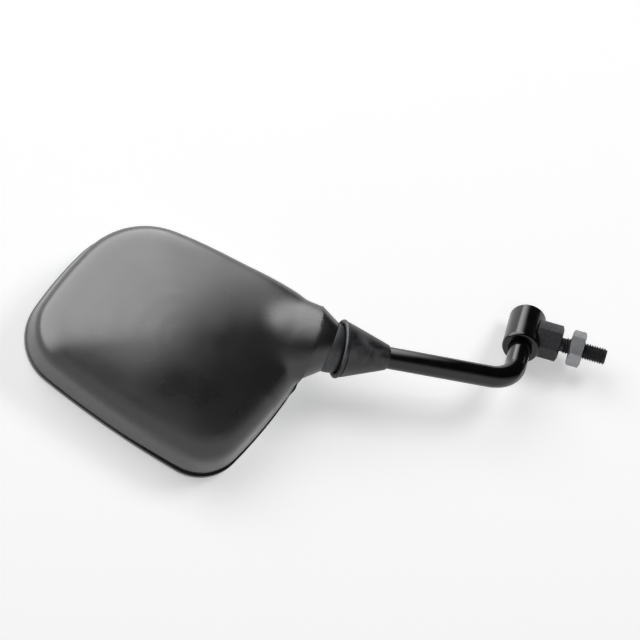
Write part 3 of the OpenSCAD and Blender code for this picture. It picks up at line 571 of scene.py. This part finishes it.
class MIRROR_OT_stud(bpy.types.Operator):
    """Makes the milled hexagon with its saddle and relief, and the cut thread of the stud"""

    bl_idname = "mirror.stud"
    bl_label = "Threaded stud"

    def execute(self, context):
        s = context.scene.mirror_stud
        block = turned_hexagon("stud_block", s.hex_flats, s.hex_h, s.hex_z, s.hex_turn, (s.hex_chamfer, 0),
                               s.edge_r)
        along = Vector(joints["arm_swivel"]["axis"]).to_track_quat("Z", "Y").to_euler()
        half = 40 * MM
        cut(block, cylinder(128, s.saddle_r - 0.02 * MM, s.saddle_z - half, s.saddle_z + half,
                            rotation=along))
        cut(block, cylinder(64, s.relief_r, s.relief_z - MM, s.hex_z + MM), "UNION")
        settle(block, "stud_block")
        dress(block, "phosphated_steel")
        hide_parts("hex_stud")
        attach(block, "bracket")

        thread = self.cut_thread(s)
        settle(thread, "stud_thread", 35)
        dress(thread, "phosphated_steel")
        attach(thread, "bracket")
        return {"FINISHED"}

    def cut_thread(self, s):
        """The helical thread: one flank profile, turned up the stud by a screw, then trimmed and pointed."""
        crest, root = s.pitch / 8, s.pitch / 4
        flank = (s.pitch - crest - root) / 2
        foot = s.tip_z - 2 * s.pitch
        thread = trace([(s.root_r, foot), (s.root_r, foot + root), (s.crest_r, foot + root + flank),
                        (s.crest_r, foot + root + flank + crest), (s.root_r, foot + s.pitch)])
        turns = math.ceil((s.relief_z - s.tip_z) / s.pitch) + 4
        apply_modifier(thread, "SCREW", axis="Z", angle=FULL_TURN, steps=s.turn_steps,
                       render_steps=s.turn_steps, screw_offset=s.pitch, iterations=turns,
                       use_merge_vertices=False)
        pick(thread, "VERT", lambda v: True)
        bpy.ops.mesh.remove_doubles(threshold=0.01 * MM)
        bpy.ops.mesh.normals_make_consistent(inside=False)
        for height, above in ((s.relief_z + MM / 2, True), (s.tip_z - MM / 2, False)):
            bpy.ops.mesh.select_all(action="SELECT")
            bpy.ops.mesh.bisect(plane_co=(0, 0, height), plane_no=(0, 0, 1), use_fill=True, threshold=CUT_GAP,
                                clear_outer=above, clear_inner=not above)
        spare = 0.1 * MM
        ends = [(c + spare, c + spare) for c in (s.tip_chamfer, s.crest_r - s.root_r)]
        cut(thread, turned_blank(s.crest_r + spare, s.tip_z, s.relief_z, ends), "INTERSECT")
        return thread


class MIRROR_OT_lock_nut(bpy.types.Operator):
    """Makes the lock nut with its turned corners and countersunk bore"""

    bl_idname = "mirror.lock_nut"
    bl_label = "Lock nut"

    def execute(self, context):
        s = context.scene.mirror_stud
        nut = turned_hexagon("lock_nut_turned", s.nut_flats, s.nut_h, 0, s.nut_turn,
                             (s.nut_chamfer, s.nut_chamfer), s.edge_r)
        bore_and_sink(nut, s.nut_bore_r, s.nut_sink, 0, s.nut_h)
        settle(nut, "lock_nut_turned")
        dress(nut, "zinc_plated_steel")
        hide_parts("lock_nut")
        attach(nut, "nut")
        return {"FINISHED"}


class MIRROR_OT_arm(bpy.types.Operator):
    """Draws the round arm out of one circle: along the barrel, round the bend and on to the ball"""

    bl_idname = "mirror.arm"
    bl_label = "Arm"

    def execute(self, context):
        s = context.scene.mirror_arm
        leg, rod = (Vector(joints[name]["axis"]) for name in ("arm_swivel", "head_turn"))
        start = Vector(joints["arm_swivel"]["pos_m"])
        run = s.bend_r * math.tan(leg.angle(rod) / 2)
        across = leg.cross(rod).normalized()
        along_leg = [(s.thread_end, s.thread_r - s.edge), (s.thread_end + s.edge, s.thread_r),
                     (s.journal_end, s.thread_r), (s.journal_end, s.journal_r), (s.shoulder, s.journal_r),
                     (s.shoulder, s.rod_r), (s.leg_reach - run, s.rod_r)]
        along_rod = [(s.rod_reach - s.rod_start, s.rod_r), (s.rod_reach - s.neck_l, s.neck_r),
                     (s.rod_reach - s.ball_flat, s.neck_r), (s.rod_reach - s.ball_flat, s.spigot_r),
                     (s.rod_reach + s.ball_flat, s.spigot_r)]
        deselect()
        bpy.ops.mesh.primitive_circle_add(vertices=s.sides, radius=along_leg[0][1], fill_type="NGON",
                                          location=start + leg * along_leg[0][0],
                                          rotation=leg.to_track_quat("Z", "Y").to_euler())
        arm = bpy.context.object
        apply_place()
        pick(arm, "FACE", lambda f: True)
        self.draw_out(start, leg, along_leg)
        centre = start + leg * (s.leg_reach - run) + across.cross(leg) * s.bend_r
        bpy.ops.mesh.spin(steps=s.bend_steps, angle=-leg.angle(rod), center=centre, axis=across)
        corner = start + leg * s.leg_reach
        self.draw_out(corner, rod, [(run, s.rod_r)] + along_rod)
        pick(arm, "FACE", lambda f: True)
        bpy.ops.mesh.normals_make_consistent(inside=False)
        settle(arm, "bent_arm", 30)
        dress(arm, "stoved_black_enamel")
        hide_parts("arm")
        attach(arm, "arm")
        return {"FINISHED"}

    def draw_out(self, foot, axis, stops):
        """Extrudes the selected end face from stop to stop, each a distance from foot and a radius."""
        for (here, radius), (there, wider) in zip(stops, stops[1:]):
            bpy.ops.mesh.extrude_region_move(TRANSFORM_OT_translate={"value": axis * (there - here)})
            share = wider / radius
            bpy.ops.transform.resize(value=(share, share, share), center_override=foot + axis * there)


class MIRROR_OT_housing(bpy.types.Operator):
    """Makes the moulded housing with one smooth skin, and trims it at the bezel and the collar"""

    bl_idname = "mirror.housing"
    bl_label = "Housing"

    def execute(self, context):
        s = context.scene.mirror_head
        shell = copy_of("housing", "housing_shell")
        shell.data.transform(HEAD.inverted())
        inwards = seam_normal(s)
        self.lend_length(shell, s, inwards)
        apply_modifier(shell, "REMESH", mode="VOXEL", voxel_size=s.voxel)
        self.smooth_skin(shell, s)
        self.trim(shell, s, inwards)
        self.round_seam(shell, s, inwards)
        shell.data.transform(HEAD)
        settle(shell, "housing_shell", 40)
        dress(shell, "spark_eroded_abs")
        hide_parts("housing")
        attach(shell, "head")
        return {"FINISHED"}

    def lend_length(self, shell, s, inwards):
        """Makes the shell longer at its ends, and its wall thicker at the pocket, until the skin is even."""
        near = 0.05 * MM
        seam_at = Vector((0, s.cad_seam_y, 0))
        pick(shell, "FACE", lambda f: f.normal.z < -0.99 and abs(f.center.z - s.rim_z) < near)
        bpy.ops.transform.translate(value=(0, 0, -s.extra))
        pick(shell, "FACE", lambda f: f.normal.dot(inwards) < -0.99
             and abs((Vector(f.center) - seam_at).dot(inwards)) < near)
        bpy.ops.transform.translate(value=-inwards * s.extra)
        pick(shell, "VERT", lambda v: abs(v.co.xz.length - s.pocket_r) < 2 * near
             and s.pocket_low - near < v.co.y < s.pocket_high + near)
        narrow = 1 - s.pocket_wall / s.pocket_r
        bpy.ops.transform.resize(value=(narrow, 1, narrow), center_override=(0, 0, 0))

    def trim(self, shell, s, inwards):
        """Bores the pocket out again and cuts the shell off at the bezel, and at the collar and its ledge."""
        deselect()
        bpy.ops.mesh.primitive_cylinder_add(vertices=96, radius=s.pocket_r, rotation=(math.pi / 2, 0, 0),
                                            depth=s.pocket_high - s.pocket_low + 0.05 * MM,
                                            location=(0, (s.pocket_low + s.pocket_high) / 2, 0))
        cut(shell, bpy.context.object)
        # Two boxes, each a middle and an extent
        deep = 100 * MM
        below_rim = (0, 80 * MM, s.rim_z - deep / 2), (400 * MM, 400 * MM, deep)
        round_collar = (0, s.seam_y - 25 * MM, s.ledge_z + deep / 2), (90 * MM, 80 * MM, deep)
        for box in (below_rim, round_collar):
            deselect()
            bpy.ops.mesh.primitive_cube_add(size=1, location=box[0], scale=box[1])
            tool = bpy.context.object
            apply_place()
            if box is round_collar:
                pick(tool, "VERT", lambda v: True)
                bpy.ops.mesh.bisect(plane_co=(0, s.seam_y, 0), plane_no=inwards, use_fill=True,
                                    clear_outer=True, threshold=CUT_GAP)
            cut(shell, tool)

    def round_seam(self, shell, s, inwards):
        """Rounds the outer edge of the face that meets the collar."""
        points, sides = shell.data.vertices, {}
        seam_at = Vector((0, s.seam_y, 0))
        for f in shell.data.polygons:
            for key in f.edge_keys:
                sides.setdefault(key, set()).add(f.normal.dot(inwards) < -0.999)
        pick(shell, "EDGE", lambda e: len(sides[e.key]) == 2 and all(
            abs((points[i].co - seam_at).dot(inwards)) < 0.02 * MM
            and points[i].co.xz.length > s.collar_bore_r + MM for i in e.vertices))
        bpy.ops.mesh.bevel(offset=s.seam_edge, segments=2, affect="EDGES", clamp_overlap=True)
        deselect()

    def smooth_skin(self, shell, s):
        """Swells the neck and smooths the outer skin, most where the neck runs into the shell.

        What faces a wall or the glass keeps its place, apart from two rows of vertices next to the skin.
        """
        tree = BVHTree.FromObject(shell, bpy.context.evaluated_depsgraph_get())
        outside = [v.normal.z > -0.3 and not tree.ray_cast(v.co + v.normal * 0.1 * MM, v.normal)[0]
                   for v in shell.data.vertices]
        for _ in range(2):
            grown = list(outside)
            for a, b in shell.data.edge_keys:
                if outside[a] or outside[b]:
                    grown[a] = grown[b] = True
            outside = grown

        def share(value):
            return max(0.0, min(1.0, value))

        # Where the swell begins at the neck's sides and over the rim, over what width it grows to the full,
        # and where the neck's lower side ends in the shell
        side_from, side_width = 15 * MM, 8 * MM
        rim_from, rim_width = -20 * MM, 6 * MM
        shell_x = -45 * MM
        for v in shell.data.vertices:
            x, y, z = v.co
            side = share((abs(x) - side_from) / side_width)
            if x > 0:
                v.co.x += side * s.swell_high * math.sin(math.pi * share(y / s.swell_to))
            elif x > shell_x:
                above_rim = share((z - rim_from) / rim_width)
                v.co.x -= side * s.swell_low * share((s.swell_to - y) / (s.swell_to - s.seam_y)) * above_rim
        skin, neck = shell.vertex_groups.new(name="skin"), shell.vertex_groups.new(name="neck")
        rise = 12 * MM
        for v, out in zip(shell.data.vertices, outside):
            skin.add([v.index], float(out), "REPLACE")
            melt = share(min((v.co.y - s.melt_from) / rise, (s.melt_to - v.co.y) / (2 * rise)))
            neck.add([v.index], melt * out, "REPLACE")
        apply_modifier(shell, "SMOOTH", factor=0.5, iterations=s.even, vertex_group="skin")
        apply_modifier(shell, "SMOOTH", factor=0.5, iterations=s.melt, vertex_group="neck")
        shell.vertex_groups.clear()


class MIRROR_OT_collar(bpy.types.Operator):
    """Makes the flared collar between the joint and the housing"""

    bl_idname = "mirror.collar"
    bl_label = "Collar"

    def execute(self, context):
        s = context.scene.mirror_head
        length = 16 * MM
        x, y, z = seam_normal(s)
        onwards = Vector((x, -z, y))  # the collar is made upright, along Z
        collar = cylinder(128, s.collar_r, 0, length)
        pick(collar, "VERT", lambda v: v.co.z > length / 2)
        reach = length / s.seam_y
        wide, deep = (1 + (r / s.collar_r - 1) * reach for r in (s.collar_side_r, s.collar_depth_r))
        bpy.ops.transform.resize(value=(wide, deep, 1), center_override=(0, 0, length))
        bpy.ops.transform.translate(value=(-s.collar_offset * reach, 0, 0))
        pick(collar, "VERT", lambda v: True)
        bpy.ops.mesh.bisect(plane_co=(0, 0, s.seam_y), plane_no=onwards, use_fill=True, clear_outer=True,
                            threshold=CUT_GAP)
        cut(collar, cylinder(96, s.collar_bore_r, -length, 2 * length))
        points = collar.data.vertices

        def outer_edge(e):
            """Whether an edge runs round the outside of one of the collar's ends."""
            ends, near = [points[i].co for i in e.vertices], 0.01 * MM
            foot = all(p.z < near for p in ends)
            top = all((p - Vector((0, 0, s.seam_y))).dot(onwards) > -near for p in ends)
            return (foot or top) and all(p.xy.length > s.collar_bore_r + 0.3 * MM for p in ends)

        pick(collar, "EDGE", outer_edge)
        bpy.ops.mesh.bevel(offset=s.collar_edge, segments=3, affect="EDGES")
        deselect()
        collar.data.transform(HEAD @ Matrix.Rotation(-math.pi / 2, 4, "X"))
        settle(collar, "flared_collar", 35)
        dress(collar, "smooth_moulded_abs")
        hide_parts("neck_collar")
        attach(collar, "head")
        return {"FINISHED"}


class MIRROR_OT_boot(bpy.types.Operator):
    """Spins the rubber boot with its rolled lip round the arm"""

    bl_idname = "mirror.boot"
    bl_label = "Boot"

    def execute(self, context):
        s = context.scene.mirror_boot
        end = s.rim + s.length
        lip = (s.wide_r - s.lip_r, s.rim + s.lip_r)
        cone_z = s.rim + 2 * s.lip_r + s.groove
        cone_r = s.wide_r - 0.8 * MM  # the cone begins a little inside the lip
        slope = (cone_r - s.narrow_r) / (end - cone_z)
        nose = s.narrow_r - s.grip_r
        inner = [(s.grip_r, end - nose / 2), (s.grip_r, end - s.grip),
                 (s.wide_r - s.lip_r - s.wall, s.rim + 3.4 * s.lip_r),
                 (s.wide_r - 2 * s.lip_r, s.rim + 0.6 * s.lip_r)]
        roll_degrees = range(-50, 131, 15)
        rolled = [(lip[0] + s.lip_r * math.sin(a), lip[1] - s.lip_r * math.cos(a))
                  for a in (math.radians(d) for d in roll_degrees)]
        outer = [(cone_r - s.groove, cone_z - 0.6 * s.groove), (s.wide_r - 0.95 * MM, cone_z)]
        outer += [(cone_r - slope * (z - cone_z), z)
                  for z in (cone_z + (end - nose - cone_z) * k / 10 for k in range(1, 11))]
        outer += [(s.narrow_r - 0.3 * nose, end - 0.3 * nose), (s.narrow_r - 0.7 * nose, end),
                  (s.grip_r, end - nose / 2)]
        boot = trace(inner + rolled + outer)
        pick(boot, "VERT", lambda v: True)
        bpy.ops.mesh.spin(steps=s.steps, angle=FULL_TURN, center=(0, 0, 0), axis=(0, 0, 1))
        bpy.ops.mesh.select_all(action="SELECT")
        bpy.ops.mesh.remove_doubles(threshold=0.005 * MM)
        bpy.ops.mesh.normals_make_consistent(inside=False)
        deselect()
        along = -Vector(joints["head_turn"]["axis"])
        boot.data.transform(Matrix.Translation(ball_at) @ along.to_track_quat("Z", "Y").to_matrix().to_4x4())
        settle(boot, "rubber_boot", 50)
        dress(boot, "moulded_epdm_rubber")
        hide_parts("boot")
        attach(boot, "arm")
        return {"FINISHED"}


class MIRROR_OT_stage(bpy.types.Operator):
    """Sets the camera, the pale floor that the mirror lies on, the lamps and the world"""

    bl_idname = "mirror.stage"
    bl_label = "Stage"

    def execute(self, context):
        s = context.scene.mirror_stage
        aim = Vector(s.aim)
        self.set_camera(context, s, aim)
        self.lay_floor(s, aim)
        self.hang_lamps(context, s, aim)
        self.raise_hood(s, aim)
        context.scene.world = self.studio_world(s)
        context.scene.view_settings.view_transform = "Standard"
        return {"FINISHED"}

    def set_camera(self, context, s, aim):
        lens = bpy.data.cameras.new("camera")
        lens.sensor_width = 36
        lens.lens = lens.sensor_width * s.distance / s.view_width
        lens.clip_start, lens.clip_end = 0.01, 100
        camera = bpy.data.objects.new("camera", lens)
        roll = Matrix.Rotation(s.roll, 4, "Z")
        camera.matrix_world = Matrix.Translation(aim + BACK * s.distance) @ PICTURE @ roll
        context.scene.collection.objects.link(camera)
        context.scene.camera = camera

    def lay_floor(self, s, aim):
        normal = Vector(s.floor_normal).normalized()
        middle = aim + normal * (s.floor_depth - aim.dot(normal))
        deselect()
        bpy.ops.mesh.primitive_grid_add(x_subdivisions=8, y_subdivisions=8, size=s.floor_size)
        floor = bpy.context.object
        floor.name = "floor"
        level_turn = normal.to_track_quat("Z", "Y").to_matrix().to_4x4()
        floor.data.transform(Matrix.Translation(middle) @ level_turn)
        dress(floor, self.paper(s).name)

    def hang_lamps(self, context, s, aim):
        # Name, place right, up and back of the aim and extent in metres, power, and whether gloss shows it
        for name, (x, y, z), extent, power, in_gloss in (
                ("key_softbox", (-0.35, 0.9, 0.95), (1.1, 1.1), s.key_power, False),
                ("side_softbox", (1.0, 0.75, 0.7), (0.5, 0.5), s.side_power, False),
                ("strip_light", (0.8, -0.14, 1.38), (0.5, 0.05), s.strip_power, True)):
            lamp = bpy.data.lights.new(name, "AREA")
            lamp.shape, lamp.size, lamp.size_y, lamp.energy = "RECTANGLE", *extent, power
            spot = bpy.data.objects.new(name, lamp)
            at = aim + RIGHT * x + UP * y + BACK * z
            away = (at - aim).normalized()
            side = (RIGHT - away * RIGHT.dot(away)).normalized()
            facing = Matrix((side, away.cross(side), away)).transposed().to_4x4()
            spot.matrix_world = Matrix.Translation(at) @ facing
            spot.visible_camera = False
            spot.visible_glossy = in_gloss
            context.scene.collection.objects.link(spot)

    def raise_hood(self, s, aim):
        deselect()
        bpy.ops.mesh.primitive_uv_sphere_add(segments=48, ring_count=24, radius=s.hood_r)
        hood = bpy.context.object
        hood.name = "studio_hood"
        pick(hood, "VERT", lambda v: v.co.z < -s.hood_foot * s.hood_r)
        bpy.ops.mesh.delete(type="VERT")
        deselect()
        hood.data.transform(Matrix.Translation(aim) @ PICTURE)
        # The hood glows and shows only in gloss, so the sheen on the mirror is a painted reflection of it
        hood.visible_camera = hood.visible_shadow = hood.visible_diffuse = hood.visible_transmission = False
        dress(hood, self.glowing_sheen_hood(s, aim, PICTURE.to_3x3() @ Vector(s.bright_side).normalized()).name)

    def studio_world(self, s):
        """An even dim light from all round, which the camera sees as white."""
        world = bpy.data.worlds.new("studio")
        world.use_nodes = True
        tree = world.node_tree
        tree.nodes.clear()
        strength = mapped(tree, self.seen(tree), low=s.sky)
        light = add_node(tree, "Background", None, {"Color": WHITE, "Strength": strength})
        add_node(tree, "OutputWorld", None, {"Surface": light.outputs[0]})
        return world

    def glowing_sheen_hood(self, s, aim, bright):
        """The studio hood round the table, a sheet that glows though it is no lamp and is seen only in gloss: a
        painted reflection, bright on one side for the sheen, grey low down and dark elsewhere. The softboxes are
        hidden from gloss, and the hood stands in for them."""
        material, tree, place = start_material("glowing_sheen_hood")
        out_from = add_node(tree, "VectorMath", {"operation": "SUBTRACT"}, {0: place, 1: aim}).outputs[0]
        rise, near = (add_node(tree, "VectorMath", {"operation": "DOT_PRODUCT"}, {0: out_from, 1: way})
                      .outputs["Value"] for way in (UP, bright))
        low = mapped(tree, rise, -s.low_full * s.hood_r, -s.low_none * s.hood_r, s.hood_low, s.hood_high)
        high = mapped(tree, near, s.glow_from * s.hood_r, s.glow_full * s.hood_r, 0.0, s.hood_glow,
                      interpolation_type="SMOOTHSTEP")
        both = add_node(tree, "Math", {"operation": "ADD"}, {0: low, 1: high}).outputs[0]
        light = add_node(tree, "Emission", None, {"Color": WHITE, "Strength": both})
        return end_material(material, light)

    def seen(self, tree):
        """1 for camera, glossy and transmission rays, and 0 for the rest."""
        path = add_node(tree, "LightPath")
        either = path.outputs["Is Camera Ray"]
        for ray in ("Is Glossy Ray", "Is Transmission Ray"):
            either = add_node(tree, "Math", {"operation": "MAXIMUM"},
                              {0: either, 1: path.outputs[ray]}).outputs[0]
        return either

    def paper(self, s):
        """White background paper, seen from its front only: it keeps the shadows, over a glow of its own."""
        material, tree, place = start_material("background_paper")
        fibre = noise(tree, place, 0.6, 2.0)
        diffuse = add_node(tree, "BsdfDiffuse", None, {
            "Color": rgba(s.floor_colour), "Normal": relief(tree, fibre, 1.0, 0.01)})
        glow = add_node(tree, "Math", {"operation": "MULTIPLY"}, {0: self.seen(tree), 1: s.floor_glow})
        light = add_node(tree, "Emission", None, {"Color": WHITE, "Strength": glow.outputs[0]})
        both = add_node(tree, "AddShader", None, {0: diffuse.outputs[0], 1: light.outputs[0]})
        clear = add_node(tree, "BsdfTransparent")
        sides = add_node(tree, "NewGeometry")
        shader = add_node(tree, "MixShader", None, {
            0: sides.outputs["Backfacing"], 1: both.outputs[0], 2: clear.outputs[0]})
        return end_material(material, shader)


class MIRROR_PT_panel(bpy.types.Panel):
    """Lists the steps that dress the mirror"""

    bl_idname = "MIRROR_PT_panel"
    bl_label = "Motorcycle mirror"
    bl_space_type = "VIEW_3D"
    bl_region_type = "UI"
    bl_category = "Mirror"

    def draw(self, context):
        for step in STEPS:
            self.layout.operator(step.bl_idname)


GROUPS = {"mirror_stud": StudSizes, "mirror_arm": ArmSizes, "mirror_head": HeadSizes,
          "mirror_boot": BootSizes, "mirror_colours": FinishColours, "mirror_stage": StageSizes}
STEPS = (MIRROR_OT_finishes, MIRROR_OT_stud, MIRROR_OT_lock_nut, MIRROR_OT_arm, MIRROR_OT_boot,
         MIRROR_OT_collar, MIRROR_OT_housing, MIRROR_OT_stage)


def register():
    for name, group in GROUPS.items():
        bpy.utils.register_class(group)
        setattr(bpy.types.Scene, name, PointerProperty(type=group))
    for kind in (*STEPS, MIRROR_PT_panel):
        bpy.utils.register_class(kind)


def unregister():
    for kind in reversed((*STEPS, MIRROR_PT_panel)):
        bpy.utils.unregister_class(kind)
    for name, group in GROUPS.items():
        delattr(bpy.types.Scene, name)
        bpy.utils.unregister_class(group)


def main():
    register()
    for step in STEPS:
        area, name = step.bl_idname.split(".")
        getattr(getattr(bpy.ops, area), name)()


if __name__ == "__main__":
    main()
